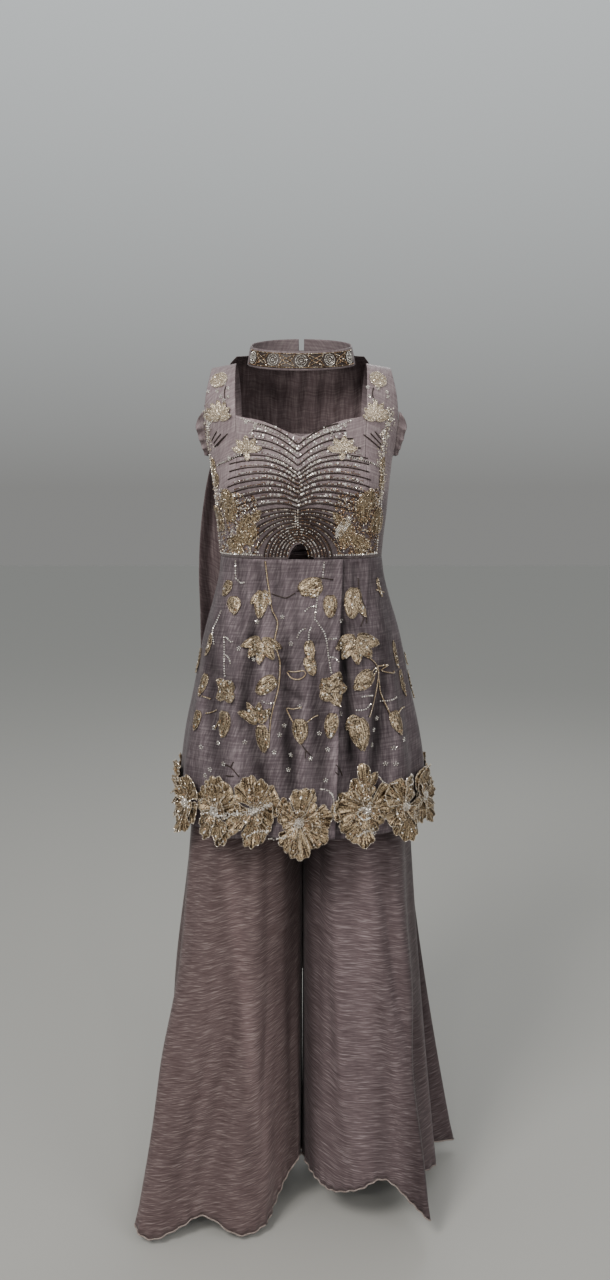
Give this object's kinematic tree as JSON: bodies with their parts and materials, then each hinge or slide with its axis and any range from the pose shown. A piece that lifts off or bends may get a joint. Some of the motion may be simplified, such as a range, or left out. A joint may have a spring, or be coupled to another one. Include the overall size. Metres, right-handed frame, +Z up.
{
  "type": "peplum palazzo set",
  "caption": "Sleeveless beaded peplum top with wide crinkled palazzo trousers and an embroidered choker whose scarf hangs down the back.",
  "frame": {"origin": "between the shoulders at the height where the wearer's shoulders carry the straps, in the plane of the side seams", "axes": "+X to the viewer's right when facing the front, +Y to the wearer's back, +Z up"},
  "size_m": [0.5663, 0.4057, 1.4869],
  "materials": {
    "top_cloth": "soft sheen crushed tissue silk, blue grey mauve",
    "trouser_cloth": "soft sheen crinkled tissue silk, taupe mauve",
    "scarf_cloth": "thin soft organza, grey mauve",
    "gold_tissue": "antique gold tissue with metal thread and sequins",
    "bead_embroidery": "silver and gold bead work on mauve cloth"
  },
  "bodies": {
    "root": {"bodice_front": "top_cloth", "bodice_back": "top_cloth", "side_front_left": "top_cloth", "side_back_left": "top_cloth", "armhole_frill_left": "top_cloth", "palazzo_front_left": "trouser_cloth", "palazzo_back_left": "trouser_cloth", "side_front_right": "top_cloth", "side_back_right": "top_cloth", "armhole_frill_right": "top_cloth", "palazzo_front_right": "trouser_cloth", "palazzo_back_right": "trouser_cloth", "peplum_wrap": "top_cloth", "peplum_under": "top_cloth", "peplum_back": "top_cloth", "hem_flower_1": "gold_tissue", "hem_flower_2": "gold_tissue", "hem_flower_3": "gold_tissue", "hem_flower_4": "gold_tissue", "hem_flower_5": "gold_tissue", "hem_flower_6": "gold_tissue", "hem_flower_7": "gold_tissue", "hem_flower_8": "gold_tissue", "hem_flower_9": "gold_tissue", "hem_flower_10": "gold_tissue", "hem_flower_11": "gold_tissue", "hem_flower_12": "gold_tissue", "hem_flower_13": "gold_tissue", "hem_flower_14": "gold_tissue", "hem_flower_15": "gold_tissue", "hem_flower_16": "gold_tissue", "vine_1": "gold_tissue", "vine_2": "gold_tissue", "vine_3": "gold_tissue", "vine_4": "gold_tissue", "vine_5": "gold_tissue", "vine_6": "gold_tissue", "vine_7": "gold_tissue", "waistband_front": "trouser_cloth", "waistband_back": "trouser_cloth", "choker_band": "top_cloth", "choker_embroidery": "bead_embroidery", "scarf": "scarf_cloth"}
  },
  "joints": []
}
